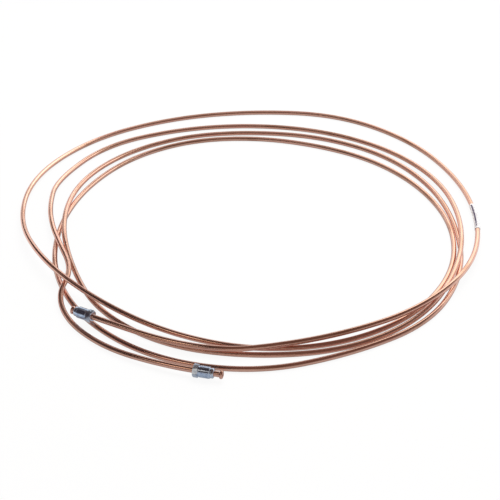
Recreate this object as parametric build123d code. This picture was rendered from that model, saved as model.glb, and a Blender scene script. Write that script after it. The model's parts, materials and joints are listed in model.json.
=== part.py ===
from build123d import *
import os
from math import cos, pi, radians, sin, tan

# A hand-wound coil of copper fluid line, lying flat: one long tube, flared at both ends,
# a loose steel tube nut behind each flare, and a paper label wrapped round the outer turn.

# The tube
tube_od = 4.75
tube_wall = 0.7
flare_od = 7.1
flare_length = 3.2
flare_land = 0.8

# The coil: its middle radius, the air between two strands that lie together,
# and the share of a run that the bend at its end takes up
coil_radius = 198.0
strand_gap = 0.15
bend_share = 0.45

# The tube nuts, M10 by 1 with a hexagon at the back and a plain lead in front
thread_od = 10.0
thread_length = 9.8
hex_across_flats = 10.0
hex_length = 4.6
hex_chamfer = 0.5
lead_od = 8.4
lead_length = 3.0
lead_chamfer = 0.7
nut_bore_clearance = 0.08

# Where the nuts lie: how far each has slid back from its flare,
# and how far it clears what is under it
front_nut_setback = 4.2
side_nut_setback = 0.4
front_nut_lift = 0.4
side_nut_lift = 0.3
bend_margin = 1.5

# The paper label
label_length = 45.0
label_thickness = 0.25
label_gap = 0.1
label_angle = 1440.0
label_shift = -10.0

tube_radius = tube_od / 2
bore_radius = tube_radius - tube_wall
strand_pitch = tube_od + strand_gap
nut_length = hex_length + thread_length + lead_length
hex_corner_radius = hex_across_flats / 2 / cos(pi / 6)

# The coil is laid out by angle, in degrees clockwise from the right when seen from above.
# A lane is how many strands outside the coil's middle radius the tube lies,
# and a level is how many strands above the floor.
step_angle = 22.5
first_angle = 202.5
turn_lanes = [
    [3.1, 4.3, 1.6, 0.3, 0.5, 1.0, 0.6, -0.2, 0.1, 1.4, 1.2, -0.1, 0.0, -1.4, -3.9, -3.2],
    [-1.8, -1.1, -1.7, -2.9, -2.3, -1.4, -1.4, -1.2, 1.0, 3.0, 2.3, 4.1, 3.9, 2.1, -0.3, -2.6],
    [-3.5, -3.5, -4.0, -5.4, -6.0, -4.8, -3.6, -2.0, -0.7, -0.1, -0.5, -1.8, -2.9, -2.1, 1.1, 5.1],
    [8.4, 8.5, 6.9, 6.6, 8.6, 7.3, 4.9, 3.2, 2.5, 0.3, -2.0, -0.9],
]
turn_levels = [
    [0.2, 0.0, 0.0, 0.0, 0.0, 0.1, 0.6, 1.0, 1.0, 0.1, 0.0, 0.0, 0.0, 0.0, 0.0, 1.1],
    [0.8, 0.1, 0.0, 0.0, 0.0, 0.0, 0.0, 0.0, 0.0, 0.0, 0.0, 0.0, 0.0, 0.0, 0.0, 0.0],
    [0.0, 0.0, 0.0, 0.0, 0.0, 0.0, 0.0, 0.0, 0.0, 0.0, 0.0, 0.0, 0.4, 1.6, 2.5, 1.2],
    [0.3, 0.0, 0.0, 0.0, 0.0, 0.0, 0.1, 0.6, 1.7, 1.4, 1.0, 1.1],
]

# The free ends: angle, lane and level of each bend between a nut and the coiled turns.
# The level of a nut is the one at which its hexagon turns clear of what is under it,
# and its rise is how much higher the point lies that its end is aimed at.
front_nut_rise = 0.06
side_nut_rise = 0.2
front_nut_level = (hex_corner_radius + front_nut_lift - tube_radius) / strand_pitch
side_nut_level = (tube_od + hex_corner_radius + side_nut_lift - tube_radius) / strand_pitch
front_end_aim = (96.5, 5.9, front_nut_level + front_nut_rise)
front_end = [
    (108.6, 5.5, front_nut_level),
    (122.0, 5.3, 0.25),
    (133.5, 4.4, 0.0),
    (141.5, 3.0, 0.2),
    (146.8, 1.0, 1.0),
    (151.2, -2.0, 1.1),
    (157.5, -3.6, 1.1),
    (167.0, -3.2, 1.1),
    (178.0, -1.6, 1.05),
    (189.0, 0.3, 0.8),
]
side_end = [
    (1541.0, -0.2, 1.15),
    (1553.0, 0.1, 1.3),
    (1566.0, 0.9, side_nut_level),
]
side_end_aim = (1577.2, 3.0, side_nut_level + side_nut_rise)


def station(angle, lane, level):
    # a point of the tube's middle line
    reach = coil_radius + lane * strand_pitch
    turned = radians(-angle)
    return Vector(reach * cos(turned), reach * sin(turned), tube_radius + level * strand_pitch)


def coil_places():
    # angle, lane and level of every station of the coiled turns
    lanes = [lane for turn in turn_lanes for lane in turn]
    levels = [level for turn in turn_levels for level in turn]
    angles = [first_angle + step_angle * number for number in range(len(lanes))]
    return list(zip(angles, lanes, levels))


def straight_length(setback):
    # the straight stretch that a nut needs behind the tip of its flare
    return flare_length + setback + nut_length + bend_margin


def tip_point(bend, aim, setback):
    # the tip of an end, far enough from its last bend for the nut to lie on straight tube
    run = straight_length(setback) / (1 - bend_share)
    return bend + (aim - bend).normalized() * run


def route():
    # every bend of the tube, from the tip at the front nut to the tip at the side nut
    bends = [station(*place) for place in front_end + coil_places() + side_end]
    front_tip = tip_point(bends[0], station(*front_end_aim), front_nut_setback)
    side_tip = tip_point(bends[-1], station(*side_end_aim), side_nut_setback)
    return [front_tip] + bends + [side_tip]


def bend_radii(points):
    # each bend is as large as the shorter of its two runs allows
    radii = []
    for before, here, after in zip(points, points[1:], points[2:]):
        run = min((here - before).length, (after - here).length)
        turn = (here - before).get_angle(after - here)
        radii.append(bend_share * run / tan(radians(turn) / 2))
    return radii


def end_plane(tip, inner):
    # a plane at the tip of the tube that faces out of it
    return Plane(origin=tip, z_dir=(tip - inner).normalized())


def formed_flare(plane):
    # the upset rim that the nut pushes on, with a rounded nose
    root = tube_radius - tube_wall / 2
    rim = flare_od / 2
    back = flare_length - (rim - tube_radius)
    nose = back - flare_land
    nose_width = rim - tube_radius
    with BuildPart() as flare:
        with BuildSketch(Plane.XZ):
            with BuildLine():
                Polyline((root, 0), (root, -flare_length), (tube_radius, -flare_length))
                Line((tube_radius, -flare_length), (rim, -back))
                Line((rim, -back), (rim, -nose))
                EllipticalCenterArc((tube_radius, -nose), nose_width, nose, arc_size=90)
                Line((tube_radius, 0), (root, 0))
            make_face()
        revolve(axis=Axis.Z)
    return plane * flare.part


def copper_tube(path, front_plane, side_plane):
    # the whole tube with its bore, and the flares formed out of its ends
    section = Circle(tube_radius) - Circle(bore_radius)
    tube = sweep(Plane(origin=path @ 0, z_dir=path % 0) * section, path=path)
    return tube + formed_flare(front_plane) + formed_flare(side_plane)


def tube_nut(plane, setback):
    # a male tube nut: lead, threaded shank and hexagon, bored through for the tube
    lead_end = -(flare_length + setback)
    shank_end = lead_end - lead_length
    hex_start = shank_end - thread_length
    standing = (Align.CENTER, Align.CENTER, Align.MIN)
    hanging = (Align.CENTER, Align.CENTER, Align.MAX)
    lead = Cylinder(lead_od / 2, lead_length, align=standing)
    lead = chamfer(lead.edges().group_by(Axis.Z)[-1], lead_chamfer)
    shank = Cylinder(thread_od / 2, thread_length, align=standing)
    hexagon = extrude(RegularPolygon(hex_across_flats / 2, 6, major_radius=False), -hex_length)
    rounding = Cylinder(hex_corner_radius, hex_length, align=hanging)
    rounding = chamfer(rounding.edges().group_by(Axis.Z)[0], hex_chamfer)
    body = Pos(0, 0, shank_end) * lead + Pos(0, 0, hex_start) * shank
    body += Pos(0, 0, hex_start) * (hexagon & rounding)
    bore = Cylinder(tube_radius + nut_bore_clearance, nut_length, align=standing)
    return plane * (body - Pos(0, 0, hex_start - hex_length) * bore)


def paper_label(path):
    # a strip of paper wrapped round the outer turn, where the tube is one plain bend
    place = min(coil_places(), key=lambda place: abs(place[0] - label_angle))
    corner = station(*place)
    bend = path.edges().filter_by(GeomType.CIRCLE).sort_by_distance(corner)[0]
    middle = 0.5 + label_shift / bend.length
    half = label_length / 2 / bend.length
    strip = bend.trim(middle - half, middle + half)
    inner = tube_radius + label_gap
    section = Circle(inner + label_thickness) - Circle(inner)
    return sweep(Plane(origin=strip @ 0, z_dir=strip % 0) * section, path=strip)


points = route()
path = FilletPolyline(*points, radius=bend_radii(points))
front_plane = end_plane(points[0], points[1])
side_plane = end_plane(points[-1], points[-2])

pieces = {
    "copper_tube": copper_tube(path, front_plane, side_plane),
    "front_tube_nut": tube_nut(front_plane, front_nut_setback),
    "side_tube_nut": tube_nut(side_plane, side_nut_setback),
    "paper_label": paper_label(path),
}

# The origin is on the floor, under the middle of the whole coil
box = Compound(list(pieces.values())).bounding_box()
to_origin = Pos(-box.center().X, -box.center().Y, -box.min.Z)

os.makedirs("parts", exist_ok=True)
for name, piece in pieces.items():
    export_step(to_origin * piece, f"parts/{name}.step")
print("tube", round(path.length), "mm long, smallest bend", round(min(bend_radii(points))))
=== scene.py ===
import json
import math

import bpy
from mathutils import Matrix, Vector


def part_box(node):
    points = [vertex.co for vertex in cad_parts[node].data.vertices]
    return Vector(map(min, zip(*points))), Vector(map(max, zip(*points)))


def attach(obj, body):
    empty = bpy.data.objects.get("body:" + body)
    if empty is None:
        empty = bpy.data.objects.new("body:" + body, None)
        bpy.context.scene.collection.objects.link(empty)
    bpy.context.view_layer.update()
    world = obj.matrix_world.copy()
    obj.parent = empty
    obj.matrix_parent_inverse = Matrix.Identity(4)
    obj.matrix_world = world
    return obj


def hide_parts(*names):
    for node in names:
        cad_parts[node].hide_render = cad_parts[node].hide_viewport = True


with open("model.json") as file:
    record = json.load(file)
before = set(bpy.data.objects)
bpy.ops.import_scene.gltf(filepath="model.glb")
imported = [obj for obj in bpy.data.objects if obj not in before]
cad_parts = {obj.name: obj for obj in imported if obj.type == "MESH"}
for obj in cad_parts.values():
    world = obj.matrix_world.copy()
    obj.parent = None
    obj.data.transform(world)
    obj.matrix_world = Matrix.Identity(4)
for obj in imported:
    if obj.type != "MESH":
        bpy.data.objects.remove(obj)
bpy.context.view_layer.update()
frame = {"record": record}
mm = 0.001

print("frame loaded")

# The line lies in four loose turns. Angles run clockwise from the right, seen from above.
# A lane is how many strands outside the middle radius it lies, a level how many above the floor.
route = {
    "tubeRadius": 2.375 * mm,
    "coilRadius": 198.0 * mm,
    "strandPitch": 4.9 * mm,
    "firstAngle": 202.5,
    "stepAngle": 22.5,
    "bendShare": 0.45,
    "turnLanes": [
        [3.1, 4.3, 1.6, 0.3, 0.5, 1.0, 0.6, -0.2, 0.1, 1.4, 1.2, -0.1, 0.0, -1.4, -3.9, -3.2],
        [-1.8, -1.1, -1.7, -2.9, -2.3, -1.4, -1.4, -1.2, 1.0, 3.0, 2.3, 4.1, 3.9, 2.1, -0.3, -2.6],
        [-3.5, -3.5, -4.0, -5.4, -6.0, -4.8, -3.6, -2.0, -0.7, -0.1, -0.5, -1.8, -2.9, -2.1, 1.1, 5.1],
        [8.4, 8.5, 6.9, 6.6, 8.6, 7.3, 4.9, 3.2, 2.5, 0.3, -2.0, -0.9],
    ],
    "turnLevels": [
        [0.2, 0.0, 0.0, 0.0, 0.0, 0.1, 0.6, 1.0, 1.0, 0.1, 0.0, 0.0, 0.0, 0.0, 0.0, 1.1],
        [0.8, 0.1, 0.0, 0.0, 0.0, 0.0, 0.0, 0.0, 0.0, 0.0, 0.0, 0.0, 0.0, 0.0, 0.0, 0.0],
        [0.0, 0.0, 0.0, 0.0, 0.0, 0.0, 0.0, 0.0, 0.0, 0.0, 0.0, 0.0, 0.4, 1.6, 2.5, 1.2],
        [0.3, 0.0, 0.0, 0.0, 0.0, 0.0, 0.1, 0.6, 1.7, 1.4, 1.0, 1.1],
    ],
    # how far each nut's hexagon clears what is under it, and how its end rises towards the tip
    "frontLift": 0.4 * mm,
    "sideLift": 0.3 * mm,
    "frontRise": 0.06,
    "sideRise": 0.2,
}

# The tube nuts, M10 by 1 with a 10 mm hexagon, in millimetres because they are modelled in them.
# The flanks are where one pitch of the thread leaves its root, meets its crest, and comes back.
nut = {
    "threadRadius": 5.0,
    "threadPitch": 1.0,
    "threadDepth": 0.42,
    "threadLength": 9.8,
    "threadFlanks": (0.1, 0.34, 0.66, 0.9),
    "coreInset": 0.12,
    "acrossFlats": 10.0,
    "hexLength": 4.6,
    "hexBevel": 0.12,
    "leadRadius": 4.2,
    "leadLength": 3.0,
    "boreRadius": 2.455,
    "boreMouth": 0.35,
    "frontSetback": 4.2,
    "sideSetback": 0.4,
    "bendMargin": 1.5,
    "turnedSides": 64,
    "threadSides": 48,
    "weld": 0.004,
    "fineWeld": 0.002,
}

# The formed flares: the rim, the flat land round it, and the rounded mouth of the bore
flare = {
    "rimRadius": 3.55 * mm,
    "length": 3.2 * mm,
    "land": 0.8 * mm,
    "boreRadius": 1.675 * mm,
    "mouth": 0.3 * mm,
}

nutLength = nut["hexLength"] + nut["threadLength"] + nut["leadLength"]
hexCornerRadius = nut["acrossFlats"] / 2 / math.cos(math.pi / 6)


def station(angle, lane, level):
    # a point of the tube's middle line, round the coil's own centre
    reach = route["coilRadius"] + lane * route["strandPitch"]
    turned = math.radians(-angle)
    height = route["tubeRadius"] + level * route["strandPitch"]
    return Vector((reach * math.cos(turned), reach * math.sin(turned), height))


def tipPoint(bend, aim, setback):
    straight = flare["length"] + (setback + nutLength + nut["bendMargin"]) * mm
    return bend + (aim - bend).normalized() * straight / (1 - route["bendShare"])


def routePoints():
    pitch = route["strandPitch"]
    frontLevel = (hexCornerRadius * mm + route["frontLift"] - route["tubeRadius"]) / pitch
    sideLevel = (hexCornerRadius * mm + route["sideLift"] + route["tubeRadius"]) / pitch
    frontAim = (96.5, 5.9, frontLevel + route["frontRise"])
    frontEnd = [
        (108.6, 5.5, frontLevel),
        (122.0, 5.3, 0.25),
        (133.5, 4.4, 0.0),
        (141.5, 3.0, 0.2),
        (146.8, 1.0, 1.0),
        (151.2, -2.0, 1.1),
        (157.5, -3.6, 1.1),
        (167.0, -3.2, 1.1),
        (178.0, -1.6, 1.05),
        (189.0, 0.3, 0.8),
    ]
    sideEnd = [(1541.0, -0.2, 1.15), (1553.0, 0.1, 1.3), (1566.0, 0.9, sideLevel)]
    sideAim = (1577.2, 3.0, sideLevel + route["sideRise"])
    lanes = sum(route["turnLanes"], [])
    levels = sum(route["turnLevels"], [])
    coil = [
        (route["firstAngle"] + route["stepAngle"] * number, lane, level)
        for number, (lane, level) in enumerate(zip(lanes, levels))
    ]
    bends = [station(*place) for place in frontEnd + coil + sideEnd]
    frontTip = tipPoint(bends[0], station(*frontAim), nut["frontSetback"])
    sideTip = tipPoint(bends[-1], station(*sideAim), nut["sideSetback"])
    return [frontTip] + bends + [sideTip]


def mountTip(name, setback):
    # the tip of an end and the way it faces, from the thread's own mount
    mount = next(m for m in frame["record"]["mounts"] if m["name"] == name)
    axis = Vector(mount["axis"]).normalized()
    reach = flare["length"] + (setback + nut["leadLength"] + nut["threadLength"] / 2) * mm
    return Vector(mount["pos_m"]) + axis * reach, axis


frontTip, frontAxis = mountTip("front_thread", nut["frontSetback"])
sideTip, sideAxis = mountTip("side_thread", nut["sideSetback"])
points = routePoints()
toOrigin = frontTip - points[0]
points = [point + toOrigin for point in points]
print("side end off its mount by", round((points[-1] - sideTip).length / mm, 3), "mm")


def deselect():
    if bpy.context.mode != "OBJECT":
        bpy.ops.object.mode_set(mode="OBJECT")
    bpy.ops.object.select_all(action="DESELECT")


def activate(piece):
    deselect()
    piece.select_set(True)
    bpy.context.view_layer.objects.active = piece


def editAll(piece):
    # goes into edit mode with everything selected
    activate(piece)
    bpy.ops.object.mode_set(mode="EDIT")
    bpy.ops.mesh.select_all(action="SELECT")


def selectVertices(piece, chosen):
    # goes into edit mode with the vertices of these numbers selected
    activate(piece)
    bpy.ops.object.mode_set(mode="EDIT")
    bpy.ops.mesh.select_mode(type="VERT")
    bpy.ops.mesh.select_all(action="DESELECT")
    bpy.ops.object.mode_set(mode="OBJECT")
    for number in chosen:
        piece.data.vertices[number].select = True
    bpy.ops.object.mode_set(mode="EDIT")


def openVertices(piece, centre, radius):
    # the vertices of the mesh's open edges near a point
    faces = {}
    for polygon in piece.data.polygons:
        for key in polygon.edge_keys:
            faces[key] = faces.get(key, 0) + 1
    ends = {number for key, count in faces.items() if count == 1 for number in key}
    return [n for n in ends if (piece.data.vertices[n].co - centre).length < radius]


def applyPlace(piece):
    activate(piece)
    bpy.ops.object.transform_apply(location=True, rotation=True, scale=True)


def applyModifier(piece, modifier):
    activate(piece)
    bpy.ops.object.modifier_apply(modifier=modifier.name)


def routeCurve(name, places, ringsPerRun, radius, roundness):
    # a smooth line through the bends, as a bevelled curve
    deselect()
    bpy.ops.curve.primitive_nurbs_path_add()
    piece = bpy.context.object
    piece.name = name
    curve = piece.data
    curve.splines.clear()
    spline = curve.splines.new("NURBS")
    spline.points.add(len(places) - 1)
    for point, place in zip(spline.points, places):
        point.co = (*place, 1)
    spline.order_u = 3
    spline.use_endpoint_u = True
    spline.resolution_u = ringsPerRun
    curve.dimensions = "3D"
    curve.twist_mode = "Z_UP"
    curve.bevel_depth = radius
    curve.bevel_resolution = roundness
    return piece


def tubeSkin(name, inset, radius, ringsPerRun, roundness):
    # the tube's skin from one end to the other, inset from both tips
    places = list(points)
    for end, beside in ((0, 1), (-1, -2)):
        run = points[beside] - points[end]
        places[end] = points[end] + run.normalized() * inset
    share = 1 - 2 * route["bendShare"]  # where the straight stretch for the nut ends
    places.insert(1, points[0] + (points[1] - points[0]) * share)
    places.insert(-1, points[-1] + (points[-2] - points[-1]) * share)
    piece = routeCurve(name, places, ringsPerRun, radius, roundness)
    activate(piece)
    bpy.ops.object.convert(target="MESH")
    return bpy.context.object


def middleLine(piece, sides):
    # the middle of each ring of a converted tube, in order
    verts = piece.data.vertices
    return [
        sum((verts[first + side].co for side in range(sides)), Vector()) / sides
        for first in range(0, len(verts), sides)
    ]


def layTubeMap(piece, sides):
    # the UV map in real measures: metres along the tube, and turns round it from its top
    line = middleLine(piece, sides)
    along = [0.0]
    for before, here in zip(line, line[1:]):
        along.append(along[-1] + (here - before).length)
    ring = piece.data.vertices[0:sides]
    topSide = max(ring, key=lambda vertex: vertex.co.z).index
    uvs = piece.data.uv_layers[0].data
    for corner in uvs:
        number = round(corner.uv.x * (len(line) - 1))
        corner.uv = (along[number], corner.uv.y - topSide / sides)
    return along[-1]


def formFlare(piece, tip, axis):
    # the upset rim that the nut pushes on, drawn out of the tube's own end loop
    tubeRadius = route["tubeRadius"]
    rim = flare["rimRadius"]
    back = flare["length"] - (rim - tubeRadius)
    nose = back - flare["land"]
    # each step is a depth behind the tip and the radius there
    steps = [
        (flare["length"] - 0.25 * mm, tubeRadius + 0.1 * mm),
        (back + 0.12 * mm, rim - 0.16 * mm),
        (back - 0.08 * mm, rim),
        (nose, rim),
    ]
    for degrees in (20, 40, 60, 75, 90):
        turned = math.radians(degrees)
        width = (rim - tubeRadius) * math.cos(turned)
        steps.append((nose - nose * math.sin(turned), tubeRadius + width))
    steps += [
        (0.0, flare["boreRadius"] + flare["mouth"]),
        (flare["mouth"] * 0.6, flare["boreRadius"] + 0.08 * mm),
    ]
    root = tip - axis * flare["length"]
    selectVertices(piece, openVertices(piece, root, tubeRadius * 1.05))
    depth = flare["length"]
    radius = tubeRadius
    for newDepth, newRadius in steps:
        bpy.ops.mesh.extrude_region_move(
            TRANSFORM_OT_translate={"value": axis * (depth - newDepth)}
        )
        bpy.ops.transform.resize(
            value=[newRadius / radius] * 3, center_override=tip - axis * newDepth
        )
        depth, radius = newDepth, newRadius
    bpy.ops.object.mode_set(mode="OBJECT")
    return depth


# The copper tube: the sides of its skins, their rings between two bends, and how far
# behind the tips its bore ends
tube = {
    "sides": 24,
    "ringsPerRun": 20,
    "boreRingsPerRun": 8,
    "boreInset": 0.6 * mm,
}


def makeTube():
    # a curve's bevel has two sides for each step of its resolution, and four more
    roundness = tube["sides"] // 2 - 2
    skin = tubeSkin(
        "tubeCoil", flare["length"], route["tubeRadius"], tube["ringsPerRun"], roundness
    )
    length = layTubeMap(skin, tube["sides"])
    for tip, axis in ((frontTip, frontAxis), (sideTip, sideAxis)):
        formFlare(skin, tip, axis)
    bore = tubeSkin(
        "tubeBore", tube["boreInset"], flare["boreRadius"], tube["boreRingsPerRun"], roundness
    )
    layTubeMap(bore, tube["sides"])
    bore.data.flip_normals()
    deselect()
    bore.select_set(True)
    skin.select_set(True)
    bpy.context.view_layer.objects.active = skin
    bpy.ops.object.join()
    for tip in (frontTip, sideTip):
        # the bore's end loop meets the flare's mouth
        selectVertices(skin, openVertices(skin, tip, flare["length"]))
        bpy.ops.mesh.bridge_edge_loops()
        bpy.ops.object.mode_set(mode="OBJECT")
    activate(skin)
    bpy.ops.object.shade_smooth_by_angle(angle=math.radians(40))
    print("tube", round(length / mm), "mm long without its flares")
    return skin


tubeCoil = makeTube()


def lineOf(name, profile):
    # an open outline in the XZ plane, drawn vertex by vertex
    deselect()
    bpy.ops.mesh.primitive_plane_add(size=1)
    piece = bpy.context.object
    piece.name = name
    bpy.ops.object.mode_set(mode="EDIT")
    bpy.ops.mesh.select_mode(type="VERT")
    bpy.ops.mesh.select_all(action="SELECT")
    bpy.ops.mesh.merge(type="CENTER")
    first = Vector((profile[0][0], 0, profile[0][1]))
    bpy.ops.transform.translate(value=first)
    for before, here in zip(profile, profile[1:]):
        step = Vector((here[0] - before[0], 0, here[1] - before[1]))
        bpy.ops.mesh.extrude_region_move(TRANSFORM_OT_translate={"value": step})
    bpy.ops.object.mode_set(mode="OBJECT")
    return piece


def turned(name, profile):
    # a solid of revolution from an outline that starts and ends on the axis
    piece = lineOf(name, profile)
    editAll(piece)
    bpy.ops.mesh.spin(
        steps=nut["turnedSides"], angle=2 * math.pi, center=(0, 0, 0), axis=(0, 0, 1)
    )
    bpy.ops.mesh.select_all(action="SELECT")
    bpy.ops.mesh.remove_doubles(threshold=nut["weld"])
    bpy.ops.mesh.normals_make_consistent(inside=False)
    bpy.ops.object.mode_set(mode="OBJECT")
    return piece


def combine(piece, other, operation):
    modifier = piece.modifiers.new(operation.lower(), "BOOLEAN")
    modifier.operation = operation
    modifier.object = other
    modifier.solver = "EXACT"
    applyModifier(piece, modifier)
    bpy.data.objects.remove(other)


def cutThread(low, high):
    # one pitch of the thread, screwed up the shank and cut off flat at both ends
    pitch = nut["threadPitch"]
    crest = nut["threadRadius"]
    root = crest - nut["threadDepth"]
    start = low - pitch
    rootEnd, crestStart, crestEnd, rootStart = nut["threadFlanks"]
    profile = [
        (root, start),
        (root, start + rootEnd * pitch),
        (crest, start + crestStart * pitch),
        (crest, start + crestEnd * pitch),
        (root, start + rootStart * pitch),
        (root, start + pitch),
    ]
    piece = lineOf("thread", profile)
    modifier = piece.modifiers.new("screw", "SCREW")
    modifier.angle = 2 * math.pi
    modifier.screw_offset = pitch
    modifier.iterations = round((high - low) / pitch) + 2
    modifier.steps = nut["threadSides"]
    modifier.render_steps = nut["threadSides"]
    modifier.use_merge_vertices = True
    modifier.merge_threshold = nut["weld"]
    applyModifier(piece, modifier)
    editAll(piece)
    bpy.ops.mesh.remove_doubles(threshold=nut["weld"])
    for height, down in ((low, True), (high, False)):
        bpy.ops.mesh.select_all(action="SELECT")
        bpy.ops.mesh.bisect(
            plane_co=(0, 0, height),
            plane_no=(0, 0, 1),
            use_fill=True,
            threshold=0.001,
            clear_inner=down,
            clear_outer=not down,
        )
    bpy.ops.mesh.select_all(action="SELECT")
    bpy.ops.mesh.normals_make_consistent(inside=False)
    bpy.ops.object.mode_set(mode="OBJECT")
    return piece


def makeHexagon():
    # bevelled along its edges, with its corners turned off at both ends
    top = nut["hexLength"]
    flat = nut["acrossFlats"] / 2
    corner = hexCornerRadius
    deselect()
    bpy.ops.mesh.primitive_cylinder_add(
        vertices=6, radius=corner, depth=top, location=(0, 0, top / 2)
    )
    hexagon = bpy.context.object
    applyPlace(hexagon)
    bevel = hexagon.modifiers.new("edges", "BEVEL")
    bevel.width = nut["hexBevel"]
    bevel.segments = 2
    bevel.limit_method = "ANGLE"
    bevel.angle_limit = math.radians(50)
    applyModifier(hexagon, bevel)
    rounding = turned("rounding", [
        (0, 0),
        (flat - 0.25, 0),
        (flat + 0.05, nut["hexBevel"]),
        (corner + 0.02, 0.6),
        (corner + 0.02, top - 0.4),
        (flat, top),
        (0, top),
    ])
    combine(hexagon, rounding, "INTERSECT")
    return hexagon


def makeShank(low, high, top):
    # the thread, tapered at both ends, on a core that ends in the plain lead
    crest = nut["threadRadius"]
    root = crest - nut["threadDepth"]
    core = root - nut["coreInset"]
    lead = nut["leadRadius"]
    neck = lead - 0.25
    thread = cutThread(low + 0.6, high)
    ends = turned("ends", [
        (0, low + 0.5),
        (root, low + 0.5),
        (crest + 0.1, low + 1.3),
        (crest + 0.1, high - 0.75),
        (root - 0.05, high + 0.02),
        (0, high + 0.02),
    ])
    combine(thread, ends, "INTERSECT")
    body = turned("core", [
        (0, low - 0.5),
        (core, low - 0.5),
        (core, low + 1.0),
        (neck, low + 1.2),
        (neck, high + 0.2),
        (lead, high + 0.45),
        (lead, top - 0.7),
        (lead - 0.22, top - 0.3),
        (lead - 0.7, top),
        (0, top),
    ])
    combine(thread, body, "UNION")
    return thread


def makeNut():
    # the nut stands on its hexagon's back, with its front end up
    threadLow = nut["hexLength"]
    threadHigh = threadLow + nut["threadLength"]
    piece = makeHexagon()
    combine(piece, makeShank(threadLow, threadHigh, nutLength), "UNION")
    bore = nut["boreRadius"]
    mouth = nut["boreMouth"]
    cutter = turned("bore", [
        (0, -1),
        (bore + mouth + 1, -1),
        (bore, mouth),
        (bore, nutLength - mouth),
        (bore + mouth + 1, nutLength + 1),
        (0, nutLength + 1),
    ])
    combine(piece, cutter, "DIFFERENCE")
    editAll(piece)
    bpy.ops.mesh.remove_doubles(threshold=nut["fineWeld"])
    bpy.ops.mesh.dissolve_degenerate(threshold=nut["fineWeld"])
    bpy.ops.object.mode_set(mode="OBJECT")
    return piece


def placeNut(model, name, tip, axis, setback):
    # a copy of the nut behind its flare, with a flat of the hexagon down
    piece = model.copy()
    piece.data = model.data.copy()
    bpy.context.collection.objects.link(piece)
    piece.name = name
    up = (Vector((0, 0, 1)) - axis * axis.z).normalized()
    turn = Matrix((up, axis.cross(up), axis)).transposed().to_4x4()
    back = tip - axis * (flare["length"] + (setback + nutLength) * mm)
    piece.data.transform(Matrix.Translation(back) @ turn @ Matrix.Scale(mm, 4))
    activate(piece)
    bpy.ops.object.shade_smooth_by_angle(angle=math.radians(32))
    return piece


nutModel = makeNut()
frontNut = placeNut(nutModel, "frontNut", frontTip, frontAxis, nut["frontSetback"])
sideNut = placeNut(nutModel, "sideNut", sideTip, sideAxis, nut["sideSetback"])
bpy.data.objects.remove(nutModel)
print("nuts made,", len(frontNut.data.polygons), "faces each")

# The paper label: a strip rolled lengthways round the outer turn, with a lap and ruffled ends
label = {
    "length": 45.0 * mm,
    "innerRadius": 2.5 * mm,
    "paper": 0.09 * mm,
    "lapDegrees": 395,
    "lapRise": 0.11 * mm,
    "sides": 36,
    "ringsPerRun": 40,
    "ruffle": 0.05 * mm,
    "ruffleWaves": 5,
}


def labelLine():
    # the stretch of the tube's middle line under the label, read from a curve with no bevel
    low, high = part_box("paper_label")
    centre = (low + high) / 2
    plain = tubeSkin("labelLine", 0.0, 0.0, label["ringsPerRun"], 0)
    line = [vertex.co.copy() for vertex in plain.data.vertices]
    bpy.data.objects.remove(plain)
    middle = min(range(len(line)), key=lambda number: (line[number] - centre).length)
    ends = []
    for step in (-1, 1):
        end = middle
        while (line[end] - line[middle]).length < label["length"] / 2:
            end += step
        ends.append(end)
    return line[ends[0]:ends[1] + 1]


def makeLabel():
    strip = labelLine()
    last = len(strip) - 1
    deselect()
    bpy.ops.mesh.primitive_grid_add(x_subdivisions=last, y_subdivisions=label["sides"], size=2)
    piece = bpy.context.object
    piece.name = "paperLabel"
    # the grid reaches from -1 to 1 both ways, lengthways in x and round the tube in y
    verts = piece.data.vertices
    for corner, loop in zip(piece.data.uv_layers[0].data, piece.data.loops):
        flat = verts[loop.vertex_index].co
        corner.uv = ((flat.x + 1) / 2 * label["length"], (flat.y + 1) / 2)
    for vertex in verts:
        number = min(int((vertex.co.x + 1) / 2 * last + 0.5), last)
        before = strip[max(number - 1, 0)]
        after = strip[min(number + 1, last)]
        ahead = (after - before).normalized()
        side = ahead.cross(Vector((0, 0, 1))).normalized()
        up = side.cross(ahead)
        share = (vertex.co.y + 1) / 2
        angle = math.radians(label["lapDegrees"]) * (share - 0.5)
        wave = 0.5 + 0.5 * math.sin(label["ruffleWaves"] * angle + 2 * vertex.co.x)
        radius = label["innerRadius"] + label["lapRise"] * share
        radius += label["ruffle"] * abs(vertex.co.x) ** 8 * wave
        vertex.co = strip[number] + side * radius * math.sin(angle) + up * radius * math.cos(angle)
    thickness = piece.modifiers.new("paper", "SOLIDIFY")
    thickness.thickness = label["paper"]
    thickness.offset = 0
    applyModifier(piece, thickness)
    bpy.ops.object.shade_smooth_by_angle(angle=math.radians(40))
    return piece


paperLabel = makeLabel()
print("label made")


def newMaterial(name):
    material = bpy.data.materials.new(name)
    material.use_nodes = True
    tree = material.node_tree
    return material, tree, tree.nodes["Principled BSDF"]


def fill(tree, socket, value):
    # a socket's number or colour, or the output that feeds it
    if isinstance(value, (int, float)):
        socket.default_value = value
    elif isinstance(value, tuple):
        socket.default_value = (*value, 1)
    else:
        tree.links.new(value, socket)


def mathNode(tree, operation, first, second=None):
    node = tree.nodes.new("ShaderNodeMath")
    node.operation = operation
    fill(tree, node.inputs[0], first)
    if second is not None:
        fill(tree, node.inputs[1], second)
    return node.outputs[0]


def rampNode(tree, value, stops):
    node = tree.nodes.new("ShaderNodeValToRGB")
    elements = node.color_ramp.elements
    for number, (position, colour) in enumerate(stops):
        element = elements[number] if number < 2 else elements.new(position)
        element.position = position
        element.color = (*colour, 1)
    fill(tree, node.inputs[0], value)
    return node.outputs[0]


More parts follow.
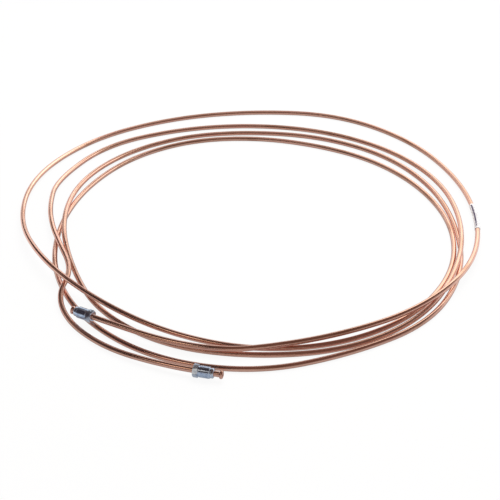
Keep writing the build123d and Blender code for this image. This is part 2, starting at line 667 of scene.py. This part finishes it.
def rangeNode(tree, value, source, target, interpolation="LINEAR"):
    node = tree.nodes.new("ShaderNodeMapRange")
    node.interpolation_type = interpolation
    for name, number in zip(("From Min", "From Max", "To Min", "To Max"), (*source, *target)):
        fill(tree, node.inputs[name], number)
    fill(tree, node.inputs["Value"], value)
    return node.outputs[0]


def noiseNode(tree, vector, scale, detail, roughness=0.5):
    node = tree.nodes.new("ShaderNodeTexNoise")
    for name, value in (
        ("Vector", vector), ("Scale", scale), ("Detail", detail), ("Roughness", roughness),
    ):
        fill(tree, node.inputs[name], value)
    return node.outputs["Fac"]


def mixColours(tree, share, first, second):
    node = tree.nodes.new("ShaderNodeMix")
    node.data_type = "RGBA"
    for number, value in ((0, share), (6, first), (7, second)):
        fill(tree, node.inputs[number], value)
    return node.outputs[2]


def mixShaders(tree, share, first, second):
    node = tree.nodes.new("ShaderNodeMixShader")
    for number, value in enumerate((share, first, second)):
        fill(tree, node.inputs[number], value)
    return node.outputs[0]


def addBump(tree, shader, height, strength, distance):
    node = tree.nodes.new("ShaderNodeBump")
    for name, value in (("Height", height), ("Strength", strength), ("Distance", distance)):
        fill(tree, node.inputs[name], value)
    fill(tree, shader.inputs["Normal"], node.outputs[0])


def placeOutput(tree, kind):
    # the Object or Generated coordinates
    return tree.nodes.new("ShaderNodeTexCoord").outputs[kind]


def separate(tree, vector):
    node = tree.nodes.new("ShaderNodeSeparateXYZ")
    fill(tree, node.inputs[0], vector)
    return node.outputs


def uvParts(tree, piece):
    # the piece's own UV map, as its two numbers
    node = tree.nodes.new("ShaderNodeUVMap")
    node.uv_map = piece.data.uv_layers[0].name
    parts = separate(tree, node.outputs[0])
    return parts[0], parts[1]


# A noise of the copper is given as its change along the tube and across it, its scale, detail
# and roughness. A noise of the steel or the paper is a scale and a detail.
copperFinish = {
    "brown": (0.62, 0.345, 0.255),
    "bright": (0.87, 0.535, 0.43),
    "rosy": (0.81, 0.455, 0.375),
    "brownAt": 0.36,
    "brightAt": 0.49,
    "rosyAt": 0.62,
    "patches": (30.0, 0.5, 1.0, 4.0, 0.55),
    "streaks": (9.0, 2.6, 1.6, 3.0, 0.55),
    "patchShare": 0.7,
    "streakRange": (0.3, 0.7),
    "roughness": (0.10, 0.27),
    "drawLines": (3.0, 9.0, 3.0, 5.0, 0.7),
    "drawLineStrength": 0.10,
    "drawLineDepth": 0.2 * mm,
}


def makeCopper():
    material, tree, shader = newMaterial("drawnCopper")
    along, turns = uvParts(tree, tubeCoil)
    angle = mathNode(tree, "MULTIPLY", turns, 2 * math.pi)
    cosine = mathNode(tree, "COSINE", angle)
    sine = mathNode(tree, "SINE", angle)

    def skinNoise(lengthwise, across, scale, detail, roughness):
        # a noise on the tube's skin, wrapped round so that no seam shows
        place = tree.nodes.new("ShaderNodeCombineXYZ")
        for socket, value, factor in zip(
            place.inputs, (along, cosine, sine), (lengthwise, across, across)
        ):
            fill(tree, socket, mathNode(tree, "MULTIPLY", value, factor))
        return noiseNode(tree, place.outputs[0], scale, detail, roughness)

    patches = skinNoise(*copperFinish["patches"])
    streaks = skinNoise(*copperFinish["streaks"])
    share = copperFinish["patchShare"]
    wide = mathNode(tree, "MULTIPLY", patches, share)
    blend = mathNode(tree, "ADD", wide, mathNode(tree, "MULTIPLY", streaks, 1 - share))
    stops = [(copperFinish[name + "At"], copperFinish[name]) for name in ("brown", "rosy", "bright")]
    fill(tree, shader.inputs["Base Color"], rampNode(tree, blend, stops))
    shader.inputs["Metallic"].default_value = 1.0
    roughness = rangeNode(tree, streaks, copperFinish["streakRange"], copperFinish["roughness"])
    fill(tree, shader.inputs["Roughness"], roughness)
    lines = skinNoise(*copperFinish["drawLines"])
    addBump(tree, shader, lines, copperFinish["drawLineStrength"], copperFinish["drawLineDepth"])
    return material


steelFinish = {
    "dull": (0.54, 0.63, 0.80),
    "zinc": (0.69, 0.80, 0.96),
    "dullAt": 0.36,
    "zincAt": 0.56,
    "grain": (420.0, 4.0),
    "roughness": (0.20, 0.09),
    "fineGrain": (2600.0, 2.0),
    "bumpStrength": 0.05,
    "bumpDepth": 0.05 * mm,
}


def makeSteel():
    material, tree, shader = newMaterial("zincPlatedSteel")
    place = placeOutput(tree, "Object")
    grain = noiseNode(tree, place, *steelFinish["grain"])
    stops = [(steelFinish[name + "At"], steelFinish[name]) for name in ("dull", "zinc")]
    fill(tree, shader.inputs["Base Color"], rampNode(tree, grain, stops))
    shader.inputs["Metallic"].default_value = 1.0
    fill(tree, shader.inputs["Roughness"], rangeNode(tree, grain, (0, 1), steelFinish["roughness"]))
    fine = noiseNode(tree, place, *steelFinish["fineGrain"])
    addBump(tree, shader, fine, steelFinish["bumpStrength"], steelFinish["bumpDepth"])
    return material


# The printed lines run along the strip. Their places and half widths are in turns round the tube.
paperFinish = {
    "grey": (0.84, 0.84, 0.87),
    "white": (0.92, 0.92, 0.93),
    "greyAt": 0.3,
    "whiteAt": 0.6,
    "fibres": (900.0, 4.0),
    "roughness": 0.7,
    "bumpStrength": 0.2,
    "bumpDepth": 0.05 * mm,
    "ink": (0.09, 0.07, 0.12),
    "line": (0.568, 0.048),
    "faintLine": (0.475, 0.014),
    "faintLineShare": 0.4,
    "printedShare": 0.92,
    "wear": (340.0, 3.0),
    "wearRange": (0.38, 0.52),
    "inkRange": (0.5, 1.0),
}


def makePaper():
    material, tree, shader = newMaterial("labelPaper")
    along, turns = uvParts(tree, paperLabel)
    place = placeOutput(tree, "Object")
    fibres = noiseNode(tree, place, *paperFinish["fibres"])
    stops = [(paperFinish[name + "At"], paperFinish[name]) for name in ("grey", "white")]
    paper = rampNode(tree, fibres, stops)

    def within(value, middle, reach):
        off = mathNode(tree, "ABSOLUTE", mathNode(tree, "SUBTRACT", value, middle))
        return mathNode(tree, "LESS_THAN", off, reach)

    faint = mathNode(
        tree, "MULTIPLY", within(turns, *paperFinish["faintLine"]), paperFinish["faintLineShare"]
    )
    lines = mathNode(tree, "MAXIMUM", within(turns, *paperFinish["line"]), faint)
    half = label["length"] / 2
    printed = mathNode(tree, "MULTIPLY", lines, within(along, half, half * paperFinish["printedShare"]))
    wear = noiseNode(tree, place, *paperFinish["wear"])
    worn = rangeNode(tree, wear, paperFinish["wearRange"], paperFinish["inkRange"])
    ink = mathNode(tree, "MULTIPLY", printed, worn)
    fill(tree, shader.inputs["Base Color"], mixColours(tree, ink, paper, paperFinish["ink"]))
    shader.inputs["Roughness"].default_value = paperFinish["roughness"]
    addBump(tree, shader, fibres, paperFinish["bumpStrength"], paperFinish["bumpDepth"])
    return material


def dress(piece, material):
    piece.data.materials.clear()
    piece.data.materials.append(material)


steel = makeSteel()
dress(tubeCoil, makeCopper())
dress(frontNut, steel)
dress(sideNut, steel)
dress(paperLabel, makePaper())
print("finishes made")

for piece, body, node, slot in (
    (tubeCoil, "line", "copper_tube", "copper"),
    (paperLabel, "line", "paper_label", "paper"),
    (frontNut, "front_nut", "front_tube_nut", "plated_steel"),
    (sideNut, "side_nut", "side_tube_nut", "plated_steel"),
):
    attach(piece, body)
    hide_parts(node)

# The camera looks along +Y and down, at a point given from the coil's own centre
camera = {
    "elevation": 34.0,
    "distance": 1.2,
    "focalPixels": 1300.0,
    "imagePixels": 500.0,
    "sensor": 36.0,
    "aim": (-4.0 * mm, -37.0 * mm),
    "nearest": 0.01,
}


def makeCamera():
    target = Vector((*camera["aim"], 0)) + Vector((toOrigin.x, toOrigin.y, 0))
    tilt = math.radians(camera["elevation"])
    away = Vector((0, -math.cos(tilt), math.sin(tilt)))
    data = bpy.data.cameras.new("camera")
    eye = bpy.data.objects.new("camera", data)
    bpy.context.collection.objects.link(eye)
    eye.location = target + away * camera["distance"]
    eye.rotation_euler = (-away).to_track_quat("-Z", "Y").to_euler()
    data.sensor_width = camera["sensor"]
    data.lens = camera["focalPixels"] / camera["imagePixels"] * camera["sensor"]
    data.clip_start = camera["nearest"]
    bpy.context.scene.camera = eye


# The floor's glow is how much of it the camera sees as plain white. The metal mirrors it as a glow,
# dimmer within the coil as painted shade and near white beyond its sides, which are distances from the
# middle.
floor = {
    "size": 40.0,
    "colour": (0.93, 0.93, 0.93),
    "roughness": 0.9,
    "glow": 0.92,
    "paintedShadeMirrorShare": 0.85,
    "mirrored": (0.42, 0.95),
    "sides": (0.17, 0.23),
}


def makeFloor():
    deselect()
    bpy.ops.mesh.primitive_plane_add(size=floor["size"])
    piece = bpy.context.object
    piece.name = "floor"
    material, tree, shader = newMaterial("floorWhite")
    fill(tree, shader.inputs["Base Color"], floor["colour"])
    shader.inputs["Roughness"].default_value = floor["roughness"]
    shader.inputs["Specular IOR Level"].default_value = 0.0
    path = tree.nodes.new("ShaderNodeLightPath").outputs
    glow = tree.nodes.new("ShaderNodeEmission")
    seenShare = mathNode(tree, "MULTIPLY", path["Is Camera Ray"], floor["glow"])
    seen = mixShaders(tree, seenShare, shader.outputs[0], glow.outputs[0])
    fromMiddle = mathNode(tree, "ABSOLUTE", separate(tree, placeOutput(tree, "Object"))[0])
    # painted shade: the metal sees the floor glow dimmer within the coil than beyond its sides
    level = rangeNode(tree, fromMiddle, floor["sides"], floor["mirrored"], "SMOOTHSTEP")
    paintedShadeMirror = tree.nodes.new("ShaderNodeEmission")
    fill(tree, paintedShadeMirror.inputs["Strength"], level)
    paintedShadeMirrorShare = mathNode(tree, "MULTIPLY", path["Is Glossy Ray"], floor["paintedShadeMirrorShare"])
    surface = mixShaders(tree, paintedShadeMirrorShare, seen, paintedShadeMirror.outputs[0])
    fill(tree, tree.nodes["Material Output"].inputs["Surface"], surface)
    dress(piece, material)


# What the metal mirrors of the room. A range is where one colour gives way to the next,
# as a part of the view's direction along +Y or upwards.
room = {
    "frontLow": (0.36, 0.34, 0.33),
    "backLow": (0.95, 0.95, 0.95),
    "overhead": (0.44, 0.39, 0.36),
    "frontToBack": (-0.2, 0.5),
    "lowToHigh": (0.25, 0.75),
}


def makeWorld():
    world = bpy.data.worlds.new("studio")
    bpy.context.scene.world = world
    world.use_nodes = True
    tree = world.node_tree
    view = separate(tree, placeOutput(tree, "Generated"))
    depth = rangeNode(tree, view[1], room["frontToBack"], (0, 1), "SMOOTHSTEP")
    low = mixColours(tree, depth, room["frontLow"], room["backLow"])
    height = rangeNode(tree, view[2], room["lowToHigh"], (0, 1), "SMOOTHSTEP")
    mirrored = tree.nodes["Background"]
    fill(tree, mirrored.inputs["Color"], mixColours(tree, height, low, room["overhead"]))
    white = tree.nodes.new("ShaderNodeBackground")
    fill(tree, white.inputs["Color"], (1, 1, 1))
    path = tree.nodes.new("ShaderNodeLightPath").outputs
    surface = mixShaders(tree, path["Is Camera Ray"], mirrored.outputs[0], white.outputs[0])
    fill(tree, tree.nodes["World Output"].inputs["Surface"], surface)


# Cards that only the metal mirrors: centre, size, turn about Y in degrees, and colour
cards = {
    "frontStrip": ((-0.3, -0.95, 0.3), (1.2, 0.20), 0, (0.8, 0.7, 0.58)),
    "frontFlag": ((-0.825, -0.45, 0.3), (1.55, 0.80), 0, (0.050, 0.035, 0.036)),
    "frontShade": ((0.3, -0.45, 0.3), (0.7, 0.80), 0, (0.145, 0.088, 0.070)),
    "overShade": ((-0.475, 0.04, 0.3), (2.25, 0.18), 0, (0.17, 0.13, 0.115)),
    "nearFlag": ((-0.26, 0.225, 0.3), (0.32, 0.19), 0, (0.060, 0.040, 0.038)),
    "leftFlag": ((-1.01, 0.565, 0.3), (1.18, 0.87), 0, (0.060, 0.040, 0.038)),
    "warmStrip": ((-0.24, -0.36, 0.28), (0.2, 0.15), 0, (1.2, 1.02, 0.82)),
    "leftSoftbox": ((-0.15, 0.2, 0.175), (0.25, 0.22), 90, (2.4, 2.45, 2.25)),
    "leftSoftboxBack": ((-0.148, 0.2, 0.175), (0.26, 0.23), 90, (0.30, 0.24, 0.21)),
    "leftWall": ((-0.26, 0.66, 0.3), (0.32, 0.68), 0, (1.1, 1.08, 1.04)),
    "rightSoftbox": ((0.36, 0.565, 0.3), (0.48, 0.87), 0, (1.65, 1.66, 1.48)),
}


def addCard(name, centre, size, turn, colour):
    deselect()
    bpy.ops.mesh.primitive_plane_add(size=1, location=centre, rotation=(0, math.radians(turn), 0))
    card = bpy.context.object
    card.name = name
    card.scale = (*size, 1)
    applyPlace(card)
    material, tree, shader = newMaterial(name + "Glow")
    glow = tree.nodes.new("ShaderNodeEmission")
    fill(tree, glow.inputs["Color"], colour)
    fill(tree, tree.nodes["Material Output"].inputs["Surface"], glow.outputs[0])
    dress(card, material)
    card.visible_camera = False
    card.visible_diffuse = False
    card.visible_transmission = False
    card.visible_shadow = False


# The one lamp, which lights the floor and the paper and isn't mirrored
lamp = {
    "place": (0.3, 0.4, 1.6),
    "size": 1.4,
    "power": 25.0,
}


def makeLamp():
    data = bpy.data.lights.new("overheadSoftbox", "AREA")
    data.shape = "SQUARE"
    data.size = lamp["size"]
    data.energy = lamp["power"]
    piece = bpy.data.objects.new("overheadSoftbox", data)
    bpy.context.collection.objects.link(piece)
    piece.location = lamp["place"]
    piece.rotation_euler = (-Vector(lamp["place"])).to_track_quat("-Z", "Y").to_euler()
    piece.visible_glossy = False


makeCamera()
makeFloor()
makeWorld()
for name, card in cards.items():
    addCard(name, *card)
makeLamp()

bpy.context.scene.view_settings.view_transform = "Standard"
print("studio set")
